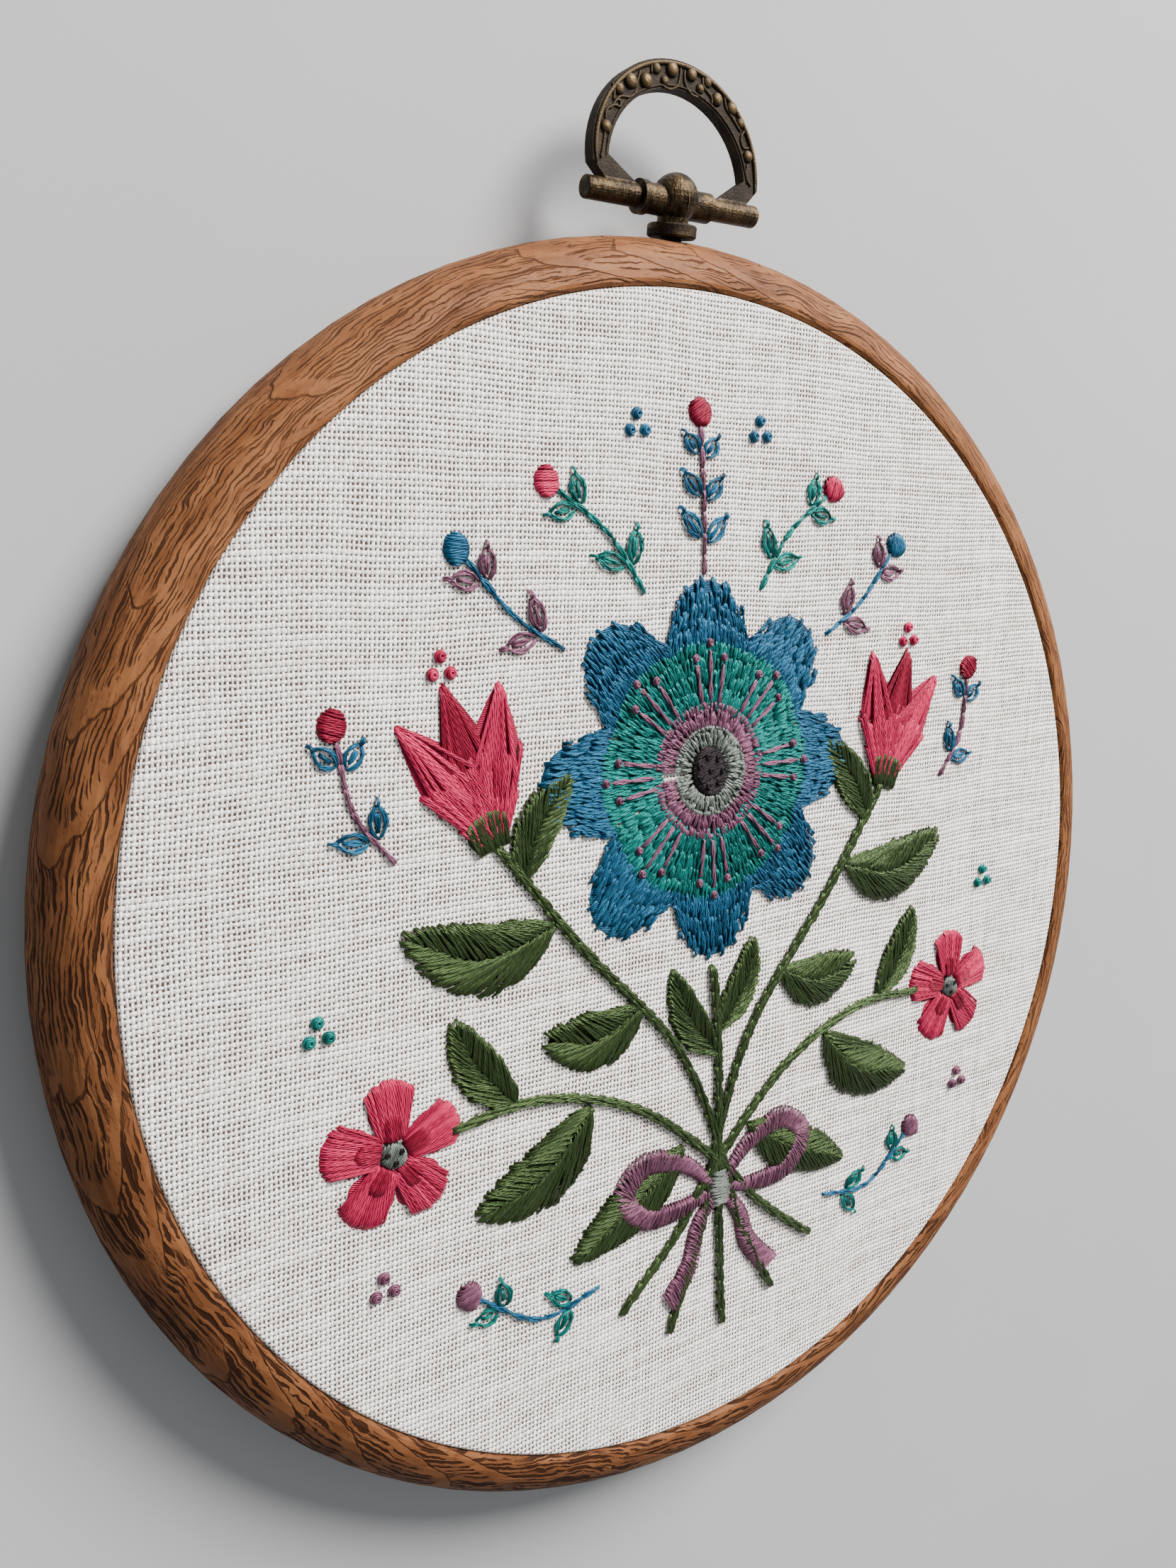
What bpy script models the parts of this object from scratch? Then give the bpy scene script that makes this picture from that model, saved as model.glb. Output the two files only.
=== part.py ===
"""Hoop embroidery art: a round of cotton stretched in a woodgrain hoop with a cast bronze hanger.

The hoop lies on its back. +Z comes out of the cloth's face, +Y points to the hanger and X runs
across. The origin is under the middle of the whole part, on the surface that it rests on. Metres.
"""

import math

import bmesh
import bpy

# The cloth's round, which sets the size of both hoops.
CLOTH_RADIUS = 0.0722
CLOTH_THICK = 0.0010
CLOTH_TOP = 0.0116
CLOTH_ROLL = 0.0013
CLOTH_SKIRT = 0.0027

# Pieces that touch keep this much air between their meshes.
AIR = 0.0003

# The soft outer hoop: a rounded face falling outwards from a low crest, and a flat back.
OUTER_INSIDE = CLOTH_RADIUS + AIR
OUTER_OUTSIDE = 0.0791
OUTER_CREST = 0.0119
OUTER_LIP = 0.0008
OUTER_MID = 0.0058
OUTER_BACK_ROUND = 0.0026
OUTER_BACK_EDGE = 0.0005

# The hard inner hoop, with a rebate at its top that the cloth's edge turns down into.
INNER_OUTSIDE = OUTER_INSIDE - AIR
INNER_INSIDE = 0.0686
INNER_NECK = CLOTH_RADIUS - CLOTH_THICK - AIR
INNER_TOP = CLOTH_TOP - CLOTH_THICK - AIR
INNER_SHELF = CLOTH_TOP - CLOTH_SKIRT - AIR
INNER_BACK = 0.0005
INNER_EDGE = 0.0006

# The stud: a shank in the hoop's wall, a flange against it, a neck and a ball. It stands a
# little above the hoop's widest line and leans forward with the wall there.
STUD_RISE = 0.00105
STUD_LEAN = math.radians(12)
FLANGE_RADIUS = 0.0030
FLANGE_THICK = 0.0015
FLANGE_ROUND = 0.0002
NECK_RADIUS = 0.0019
PIN_HEIGHT = 0.0039
BALL_RADIUS = 0.00285
BALL_ABOVE_PIN = 0.00045
SHANK_RADIUS = 0.0013
SHANK_LENGTH = 0.0030

# The crossbar through the ball: a collar each side, a rim on the left one, and a pin.
COLLAR_RADIUS = 0.00172
LEFT_COLLAR_END = -0.0046
LEFT_RIM_END = -0.0055
RIM_RADIUS = 0.00195
RIGHT_COLLAR_END = 0.0050
PIN_RADIUS = 0.00055

# The bail's barrels turn on the pin. The left one is longer. At rest the bail leans forward a little.
BAIL_SHIFT = 0.00005
BAIL_LEAN = math.radians(2)
BARREL_RADIUS = 0.0013
BARREL_BORE = PIN_RADIUS + AIR
LEFT_BARREL_END = -0.0130
RIGHT_BARREL_END = 0.0124
BARREL_END_WALL = 0.0008
BARREL_ROUND = 0.0002
BAND_THICK = 0.0016
BAND_BEVEL = 0.00022
BEVEL_FROM = math.radians(50)

# The bail's outline: two half ellipses (half width, height, centre above the pin) and two feet.
# The degrees say how far below its widest line each half ellipse ends: the inner one ends above it.
ARCH_OUTER = (0.0124, 0.0114, 0.0040)
ARCH_INNER = (0.0102, 0.0095, 0.0027)
ARCH_OUTER_DROP = 6
ARCH_INNER_DROP = -6
FOOT_INSIDE = 0.0059
FOOT_OUTSIDE = 0.0105
FOOT_BOTTOM = 0.00095

# Steps round each turned piece.
HOOP_STEPS = 96
STUD_STEPS = 32
BARREL_STEPS = 24

# The stud's seat and the bail's pin, from the hoop's middle: (0, Y, Z).
FACE_CENTRE = OUTER_INSIDE + OUTER_LIP
FACE_WIDTH = OUTER_OUTSIDE - FACE_CENTRE
FACE_HEIGHT = OUTER_CREST - OUTER_MID
SEAT_Y = FACE_CENTRE + FACE_WIDTH * math.sqrt(1 - (STUD_RISE / FACE_HEIGHT) ** 2) + AIR
SEAT_Z = OUTER_MID + STUD_RISE
PIN_Y = SEAT_Y + PIN_HEIGHT * math.cos(STUD_LEAN)
PIN_Z = SEAT_Z + PIN_HEIGHT * math.sin(STUD_LEAN)

# The hoop's middle is moved so that the whole part, bail included, is centred on the origin.
BAIL_HEIGHT = ARCH_OUTER[1] + ARCH_OUTER[2]
BAIL_TOP = PIN_Y + BAIL_HEIGHT * math.cos(BAIL_LEAN) + BAND_THICK / 2 * math.sin(BAIL_LEAN)
HOOP_CENTRE_Y = -(BAIL_TOP - OUTER_OUTSIDE) / 2


def clear_scene():
    for obj in list(bpy.data.objects):
        bpy.data.objects.remove(obj, do_unlink=True)


def new_collection(name):
    made = bpy.data.collections.new(name)
    bpy.context.scene.collection.children.link(made)
    return made


def material(name, colour, roughness, metallic=0.0):
    made = bpy.data.materials.new(name)
    made.use_nodes = True
    shader = made.node_tree.nodes["Principled BSDF"]
    shader.inputs["Base Color"].default_value = (*colour, 1.0)
    shader.inputs["Roughness"].default_value = roughness
    shader.inputs["Metallic"].default_value = metallic
    return made


def empty(name, location, parent=None):
    made = bpy.data.objects.new(name, None)
    made.location = location
    made.parent = parent
    PARTS.objects.link(made)
    return made


def arc(centre, half_sizes, start, end, count):
    """Points of an ellipse's arc, from start to end degrees, both ends included."""
    points = []
    for step in range(count):
        angle = math.radians(start + (end - start) * step / (count - 1))
        across = centre[0] + half_sizes[0] * math.cos(angle)
        up = centre[1] + half_sizes[1] * math.sin(angle)
        points.append((across, up))
    return points


def turned(name, profile, steps, closed):
    """A body turned about its own Z from (radius, height) points that run down the outer side."""
    mesh = bpy.data.meshes.new(name)
    last = len(profile) if closed else len(profile) - 1
    edges = [(i, (i + 1) % len(profile)) for i in range(last)]
    mesh.from_pydata([(radius, 0.0, height) for radius, height in profile], edges, [])
    obj = bpy.data.objects.new(name, mesh)
    screw = obj.modifiers.new("turn", "SCREW")
    screw.axis = "Z"
    screw.steps = steps
    screw.render_steps = steps
    screw.use_merge_vertices = True
    screw.merge_threshold = 0.00001
    screw.use_smooth_shade = True
    return obj


def place(obj, parent, look=None, location=(0, 0, 0), rotation=(0, 0, 0)):
    obj.parent = parent
    obj.location = location
    obj.rotation_euler = rotation
    PARTS.objects.link(obj)
    if look:
        obj.data.materials.append(look)
    return obj


def place_helper(obj, parent, location=(0, 0, 0), rotation=(0, 0, 0)):
    """A body that only shapes another one: not rendered, drawn as wire."""
    obj.parent = parent
    obj.location = location
    obj.rotation_euler = rotation
    obj.hide_render = True
    obj.display_type = "WIRE"
    CUTTERS.objects.link(obj)
    return obj


def combine(obj, other, operation):
    change = obj.modifiers.new(other.name, "BOOLEAN")
    change.operation = operation
    change.object = other
    change.solver = "EXACT"


def outer_hoop_profile():
    face = arc((FACE_CENTRE, OUTER_MID), (FACE_WIDTH, FACE_HEIGHT), 90, 0, 10)
    under = arc((OUTER_OUTSIDE - OUTER_BACK_ROUND, OUTER_MID), (OUTER_BACK_ROUND, OUTER_MID), 0, -90, 7)
    back_edge = [(OUTER_INSIDE + OUTER_BACK_EDGE, 0.0), (OUTER_INSIDE, OUTER_BACK_EDGE)]
    lip = arc((FACE_CENTRE, OUTER_CREST - OUTER_LIP), (OUTER_LIP, OUTER_LIP), 180, 90, 4)
    return face + under[1:] + back_edge + lip[:-1]


def inner_hoop_profile():
    shoulder = arc((INNER_NECK - INNER_EDGE, INNER_TOP - INNER_EDGE), (INNER_EDGE, INNER_EDGE), 90, 0, 3)
    step = [(INNER_NECK, INNER_SHELF), (INNER_OUTSIDE, INNER_SHELF)]
    back = [(INNER_OUTSIDE, INNER_BACK), (INNER_INSIDE + INNER_EDGE, INNER_BACK)]
    inside = [(INNER_INSIDE, INNER_BACK + INNER_EDGE), (INNER_INSIDE, INNER_TOP - INNER_EDGE)]
    return shoulder + step + back + inside + [(INNER_INSIDE + INNER_EDGE, INNER_TOP)]


def cloth_profile():
    """The sheet's top from the middle, over the shoulder, down the skirt and back underneath."""
    bend = (CLOTH_RADIUS - CLOTH_ROLL, CLOTH_TOP - CLOTH_ROLL)
    inner_roll = CLOTH_ROLL - CLOTH_THICK
    over = arc(bend, (CLOTH_ROLL, CLOTH_ROLL), 90, 0, 6)
    skirt_end = CLOTH_TOP - CLOTH_SKIRT
    hem = [(CLOTH_RADIUS, skirt_end), (CLOTH_RADIUS - CLOTH_THICK, skirt_end)]
    under = arc(bend, (inner_roll, inner_roll), 0, 90, 3)
    return [(0.0, CLOTH_TOP)] + over + hem + under + [(0.0, CLOTH_TOP - CLOTH_THICK)]


def stud_profile():
    """From the ball's top down to the shank's end. Height 0 is the pin."""
    waist_angle = -math.degrees(math.acos(NECK_RADIUS / BALL_RADIUS))
    ball = arc((0.0, BALL_ABOVE_PIN), (BALL_RADIUS, BALL_RADIUS), 90, waist_angle, 12)
    seat = -PIN_HEIGHT
    flange = [
        (NECK_RADIUS, seat + FLANGE_THICK),
        (FLANGE_RADIUS - FLANGE_ROUND, seat + FLANGE_THICK),
        (FLANGE_RADIUS, seat + FLANGE_THICK - FLANGE_ROUND),
        (FLANGE_RADIUS, seat + FLANGE_ROUND),
        (FLANGE_RADIUS - FLANGE_ROUND, seat),
    ]
    shank = [(SHANK_RADIUS, seat), (SHANK_RADIUS, seat - SHANK_LENGTH), (0.0, seat - SHANK_LENGTH)]
    return [(0.0, BALL_ABOVE_PIN + BALL_RADIUS)] + ball[1:] + flange + shank


def crossbar_profile():
    """Collars and pin along the bar, from its right end (+) to its left end (-)."""
    right_tip = RIGHT_BARREL_END - BARREL_END_WALL - AIR
    left_tip = LEFT_BARREL_END + BARREL_END_WALL + AIR
    return [
        (0.0, right_tip),
        (PIN_RADIUS, right_tip),
        (PIN_RADIUS, RIGHT_COLLAR_END),
        (COLLAR_RADIUS, RIGHT_COLLAR_END),
        (COLLAR_RADIUS, LEFT_COLLAR_END),
        (RIM_RADIUS, LEFT_COLLAR_END),
        (RIM_RADIUS, LEFT_RIM_END),
        (PIN_RADIUS, LEFT_RIM_END),
        (PIN_RADIUS, left_tip),
        (0.0, left_tip),
    ]


def barrel_profile(length):
    """A blind tube. Height 0 is its open end, and its closed end is at +length."""
    bore_end = length - BARREL_END_WALL
    corner = (BARREL_RADIUS - BARREL_ROUND, length - BARREL_ROUND)
    round_end = arc(corner, (BARREL_ROUND, BARREL_ROUND), 90, 0, 3)
    mouth = [(BARREL_RADIUS, 0.0), (BARREL_BORE, 0.0), (BARREL_BORE, bore_end), (0.0, bore_end)]
    return [(0.0, length)] + round_end + mouth


def bail_outline():
    """The band's outline in the bail's own plane: across, and up from the pin."""
    outer_w, outer_h, outer_up = ARCH_OUTER
    inner_w, inner_h, inner_up = ARCH_INNER
    over = arc((0.0, outer_up), (outer_w, outer_h), -ARCH_OUTER_DROP, 180 + ARCH_OUTER_DROP, 37)
    left_foot = [(-FOOT_OUTSIDE, FOOT_BOTTOM), (-FOOT_INSIDE, FOOT_BOTTOM)]
    back = arc((0.0, inner_up), (inner_w, inner_h), 180 + ARCH_INNER_DROP, -ARCH_INNER_DROP, 31)
    right_foot = [(FOOT_INSIDE, FOOT_BOTTOM), (FOOT_OUTSIDE, FOOT_BOTTOM)]
    return over + left_foot + back + right_foot


def bail_band():
    """The outline as a filled flat curve, made a mesh so that the barrels can be joined to it."""
    curve = bpy.data.curves.new("bail_outline", "CURVE")
    curve.dimensions = "2D"
    curve.fill_mode = "BOTH"
    curve.extrude = BAND_THICK / 2
    outline = bail_outline()
    spline = curve.splines.new("POLY")
    spline.points.add(len(outline) - 1)
    for point, (across, up) in zip(spline.points, outline):
        point.co = (across, up, 0.0, 1.0)
    spline.use_cyclic_u = True
    guide = bpy.data.objects.new("bail_outline", curve)
    CUTTERS.objects.link(guide)
    graph = bpy.context.evaluated_depsgraph_get()
    mesh = bpy.data.meshes.new_from_object(guide.evaluated_get(graph))
    bpy.data.objects.remove(guide, do_unlink=True)
    welded = bmesh.new()
    welded.from_mesh(mesh)
    bmesh.ops.remove_doubles(welded, verts=welded.verts, dist=0.000001)
    welded.to_mesh(mesh)
    welded.free()
    mesh.shade_smooth()
    band = bpy.data.objects.new("hanger_bail", mesh)
    bevel = band.modifiers.new("worn_edges", "BEVEL")
    bevel.width = BAND_BEVEL
    bevel.segments = 2
    bevel.limit_method = "ANGLE"
    bevel.angle_limit = BEVEL_FROM
    return band


def build_hoops(centre):
    vinyl = material("woodgrain_vinyl", (0.36, 0.16, 0.07), 0.5)
    plastic = material("cream_plastic", (0.72, 0.66, 0.55), 0.45)
    outer = place(turned("outer_hoop", outer_hoop_profile(), HOOP_STEPS, True), centre, vinyl)
    place(turned("inner_hoop", inner_hoop_profile(), HOOP_STEPS, True), centre, plastic)
    bpy.ops.mesh.primitive_cylinder_add(
        vertices=STUD_STEPS,
        radius=SHANK_RADIUS + AIR,
        depth=2 * (SHANK_LENGTH + AIR),
    )
    socket = bpy.context.object
    socket.name = "stud_socket"
    for holder in list(socket.users_collection):
        holder.objects.unlink(socket)
    place_helper(socket, centre, (0, SEAT_Y, SEAT_Z), (STUD_LEAN - math.pi / 2, 0, 0))
    combine(outer, socket, "DIFFERENCE")


def build_cloth(centre):
    cotton = material("warm_white_cotton", (0.80, 0.76, 0.68), 0.9)
    place(turned("cloth", cloth_profile(), HOOP_STEPS, False), centre, cotton)


def build_stud(pin, bronze):
    stud = place(turned("hanger_stud", stud_profile(), STUD_STEPS, False), pin, bronze)
    stud.rotation_euler = (STUD_LEAN - math.pi / 2, 0, 0)
    bar = turned("crossbar", crossbar_profile(), STUD_STEPS, False)
    place_helper(bar, pin, rotation=(0, math.pi / 2, 0))
    combine(stud, bar, "UNION")


def build_bail(pin, bronze):
    bail = place(bail_band(), pin, bronze, (BAIL_SHIFT, 0, 0), (BAIL_LEAN, 0, 0))
    right_start = RIGHT_COLLAR_END + AIR
    left_start = LEFT_RIM_END - AIR
    right = turned("right_barrel", barrel_profile(RIGHT_BARREL_END - right_start), BARREL_STEPS, False)
    left = turned("left_barrel", barrel_profile(left_start - LEFT_BARREL_END), BARREL_STEPS, False)
    place_helper(right, pin, (right_start, 0, 0), (0, math.pi / 2, 0))
    place_helper(left, pin, (left_start, 0, 0), (0, -math.pi / 2, 0))
    combine(bail, right, "UNION")
    combine(bail, left, "UNION")


def build():
    centre = empty("hoop_centre", (0, HOOP_CENTRE_Y, 0))
    pin = empty("bail_pin", (0, PIN_Y, PIN_Z), centre)
    bronze = material("antique_bronze", (0.12, 0.085, 0.05), 0.4, 0.9)
    build_hoops(centre)
    build_cloth(centre)
    build_stud(pin, bronze)
    build_bail(pin, bronze)


clear_scene()
PARTS = new_collection("hoop_embroidery_art")
CUTTERS = new_collection("cutters")
build()
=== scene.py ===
"""Hoop embroidery art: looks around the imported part. Metres, the part's own frame.

The hoop lies on its back. +Z comes out of the cloth's face and +Y points to the hanger.
Art is drawn in millimetres from the hoop's middle, x across and y towards the hanger.
"""

import math

import bpy
import numpy as np
from mathutils import Matrix, Vector


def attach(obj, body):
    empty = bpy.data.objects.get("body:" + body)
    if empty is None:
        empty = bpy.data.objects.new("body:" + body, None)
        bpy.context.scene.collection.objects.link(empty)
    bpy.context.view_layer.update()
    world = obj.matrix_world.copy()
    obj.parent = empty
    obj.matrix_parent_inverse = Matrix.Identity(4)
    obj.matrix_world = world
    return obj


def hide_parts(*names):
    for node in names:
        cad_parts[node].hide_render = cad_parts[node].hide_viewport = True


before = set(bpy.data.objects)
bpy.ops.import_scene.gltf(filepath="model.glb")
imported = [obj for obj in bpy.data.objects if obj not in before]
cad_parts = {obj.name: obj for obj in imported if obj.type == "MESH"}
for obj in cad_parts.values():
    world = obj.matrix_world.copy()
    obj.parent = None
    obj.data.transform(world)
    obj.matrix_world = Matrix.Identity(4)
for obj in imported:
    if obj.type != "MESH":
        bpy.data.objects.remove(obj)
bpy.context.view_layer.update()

RNG = np.random.default_rng(7)
TAU = 2 * math.pi
MM = 0.001

HOOP_CENTRE_Y = -0.009723
CLOTH_RADIUS = 72.2
CLOTH_TOP = 11.6
PIN = Vector((0.0, 0.073405, 0.007661))


# Shader formulas. Val wraps a socket, so that a texture reads as arithmetic.


class Val:
    def __init__(self, tree, socket):
        self.tree = tree
        self.socket = socket

    def __add__(self, other):
        return calc("ADD", self, other)

    __radd__ = __add__

    def __sub__(self, other):
        return calc("SUBTRACT", self, other)

    def __rsub__(self, other):
        return calc("SUBTRACT", other, self)

    def __mul__(self, other):
        return calc("MULTIPLY", self, other)

    __rmul__ = __mul__

    def __truediv__(self, other):
        return calc("DIVIDE", self, other)


def tree_of(values):
    return next(value.tree for value in values if isinstance(value, Val))


def plug(socket, value):
    if isinstance(value, Val):
        value.tree.links.new(value.socket, socket)
    else:
        socket.default_value = value


def calc(operation, *values):
    tree = tree_of(values)
    node = tree.nodes.new("ShaderNodeMath")
    node.operation = operation
    for socket, value in zip(node.inputs, values):
        plug(socket, value)
    return Val(tree, node.outputs[0])


def between(value, low, high):
    """0 at low, 1 at high, eased."""
    node = value.tree.nodes.new("ShaderNodeMapRange")
    node.interpolation_type = "SMOOTHSTEP"
    plug(node.inputs["Value"], value)
    plug(node.inputs["From Min"], low)
    plug(node.inputs["From Max"], high)
    return Val(value.tree, node.outputs["Result"])


def vector(x, y, z):
    tree = tree_of((x, y, z))
    node = tree.nodes.new("ShaderNodeCombineXYZ")
    for socket, value in zip(node.inputs, (x, y, z)):
        plug(socket, value)
    return Val(tree, node.outputs[0])


def noise(where, scale=1.0, detail=2.0, rough=0.5):
    """where is three Vals or numbers."""
    where = vector(*where)
    tree = where.tree
    node = tree.nodes.new("ShaderNodeTexNoise")
    plug(node.inputs["Vector"], where)
    node.inputs["Scale"].default_value = scale
    node.inputs["Detail"].default_value = detail
    node.inputs["Roughness"].default_value = rough
    return Val(tree, node.outputs["Fac"])


def one_each(first, second):
    """A random value from 0 to 1 for each pair of whole numbers."""
    tree = first.tree
    node = tree.nodes.new("ShaderNodeTexWhiteNoise")
    node.noise_dimensions = "2D"
    plug(node.inputs["Vector"], vector(first, second, 0.0))
    return Val(tree, node.outputs["Value"])


def mix(factor, first, second):
    tree = factor.tree
    node = tree.nodes.new("ShaderNodeMix")
    node.data_type = "RGBA"
    plug(node.inputs[0], factor)
    for socket, value in ((node.inputs[6], first), (node.inputs[7], second)):
        if isinstance(value, Val):
            tree.links.new(value.socket, socket)
        else:
            socket.default_value = (*value, 1.0)
    return Val(tree, node.outputs[2])


def bump(height, distance, strength=1.0, normal=None):
    tree = height.tree
    node = tree.nodes.new("ShaderNodeBump")
    node.inputs["Strength"].default_value = strength
    node.inputs["Distance"].default_value = distance
    plug(node.inputs["Height"], height)
    if normal:
        plug(node.inputs["Normal"], normal)
    return Val(tree, node.outputs[0])


def attribute(tree, name):
    node = tree.nodes.new("ShaderNodeAttribute")
    node.attribute_name = name
    return Val(tree, node.outputs["Fac"])


def place_mm(tree):
    """Object coordinates from the hoop's middle, in millimetres: three Vals."""
    coordinates = tree.nodes.new("ShaderNodeTexCoord")
    split = tree.nodes.new("ShaderNodeSeparateXYZ")
    tree.links.new(coordinates.outputs["Object"], split.inputs[0])
    x, y, z = (Val(tree, out) for out in split.outputs)
    return x * 1000.0, (y - HOOP_CENTRE_Y) * 1000.0, z * 1000.0


def new_material(name):
    made = bpy.data.materials.new(name)
    made.use_nodes = True
    return made, made.node_tree, made.node_tree.nodes["Principled BSDF"]


def dashes(along, across, pitch, widest, seed):
    """Dark streaks in lines a pitch apart, each line broken up on its own: 1 in a streak."""
    x, y = along
    phase = across / pitch + seed
    line = calc("FLOOR", phase)
    off = calc("ABSOLUTE", calc("FRACT", phase) - 0.5)
    own = noise((x * 0.26, y * 0.26, line * 13.7 + seed), 1.0, 2.0, 0.6)
    wide = between(own, 0.36, 0.56) * widest - 0.04
    return 1.0 - between(off - wide, -0.05, 0.06)


def woodgrain():
    """Satin vinyl with an oak print and engraving: streaks round the ring, nested arches in places."""
    made, tree, shader = new_material("woodgrain_vinyl")
    x, y, z = place_mm(tree)
    radius = calc("SQRT", x * x + y * y)
    ring = 76.0
    rx = x / radius * ring
    ry = y / radius * ring
    turn = calc("ARCTAN2", x, y)
    across = calc("ARCTAN2", z - 5.8, radius - 73.3) * 6.0
    flare = noise((rx * 0.05, ry * 0.05, across * 0.06), 1.0, 1.0) - 0.5
    wave = noise((rx * 0.17, ry * 0.17, across * 0.35), 1.0, 1.0) - 0.5
    jitter = noise((rx * 0.85, ry * 0.85, across * 1.1), 1.0, 2.0) - 0.5
    drift = across + flare * 6.5 + wave * 1.7 + jitter * 0.46
    along = (rx, ry)
    # The grooves are finer towards the hanger and broadest opposite it on the left. Their broadening there,
    # and the darker ground below, are painted shade on the side away from the light.
    painted_shade_low_left = between((x + y) / ring * -0.7, 0.1, 0.95)
    heavy = 1.06 + painted_shade_low_left * 0.16 - between(y, -15.0, 60.0) * 0.43
    coarse = dashes(along, drift, 0.62, heavy * 0.23, 0.0)
    close = dashes(along, drift + wave * 0.6, 0.45, heavy * 0.27, 31.0)
    deep = dashes(along, drift - jitter * 0.3, 1.30, heavy * 0.15, 57.0)
    dense = noise((rx * 0.10, ry * 0.10, across * 0.25 + 7.0), 1.0, 1.0)
    dense = between(dense, 0.45, 0.53)
    streak = coarse * (1.0 - dense) + close * dense
    streak = calc("MAXIMUM", streak, deep)
    # Nested arches: smooth bands that bend round, one about every twelve millimetres.
    arches = 41.0
    spread = across + wave * 2.0 - 4.6
    arch = turn * (arches / TAU) - spread * spread * 0.042 + wave * 0.9 + jitter * 0.10
    arch = calc("FRACT", arch)
    band = between(arch, 0.05, 0.09) - between(arch, 0.33, 0.42)
    rim = between(arch, 0.0, 0.035) - between(arch, 0.045, 0.08)
    zone = between(noise((rx, ry, 40.0), 0.034, 0.0), 0.46, 0.51)
    streak = streak * (1.0 - band * zone)
    line = calc("MAXIMUM", streak, rim * zone * 0.8)
    pores = noise((rx * 0.6, ry * 0.6, drift * 2.6), 1.5, 2.0)
    fine = 1.0 - between(pores, 0.30, 0.40)
    tone = noise((rx * 0.14, ry * 0.14, drift * 0.6), 1.0, 3.0)
    ground = mix(between(tone, 0.3, 0.7), (0.108, 0.039, 0.0135), (0.192, 0.077, 0.029))
    ground = mix(fine * 0.5, ground, (0.052, 0.016, 0.004))
    # Painted shade: the ground darkens towards the lower left, away from the light.
    ground = mix(painted_shade_low_left * 0.36, ground, (0.052, 0.018, 0.006))
    # The grain lines fade towards the hanger and on the right, the side the light comes from: painted light.
    # Their dark colour is partly the print and partly painted shade in the engraved grooves.
    print_and_painted_light = 0.96 - between(y, 10.0, 62.0) * 0.20 - between(x, 25.0, 70.0) * 0.20
    colour = mix(line * print_and_painted_light, ground, (0.019, 0.0060, 0.0018))
    plug(shader.inputs["Base Color"], colour)
    normal = bump(0.0 - line - fine * 0.12, 0.00014, 0.9)
    satin = noise((x, y, z), 2.2, 3.0)
    normal = bump(satin, 0.00006, 0.35, normal)
    plug(shader.inputs["Normal"], normal)
    rough = 0.60 + line * 0.20 + (satin - 0.5) * 0.2
    plug(shader.inputs["Roughness"], rough)
    shader.inputs["Specular IOR Level"].default_value = 0.10
    return made


def cream_plastic():
    made, tree, shader = new_material("cream_plastic")
    x, y, z = place_mm(tree)
    cloudy = noise((x, y, z), 0.12, 3.0)
    specks = noise((x, y, z * 3.0), 1.6, 4.0)
    colour = mix(cloudy, (0.66, 0.58, 0.46), (0.76, 0.70, 0.59))
    plug(shader.inputs["Base Color"], colour)
    normal = bump(specks, 0.00005, 0.4)
    plug(shader.inputs["Normal"], normal)
    rough = 0.38 + specks * 0.2
    plug(shader.inputs["Roughness"], rough)
    return made


# Plain weave: how far apart the threads lie, and the way that they are counted.
COLUMN_PITCH = 0.517
ROW_PITCH = 0.637
COLUMN_TURN = math.radians(-4.6)
ROW_TURN = math.radians(-90.5)


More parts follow.
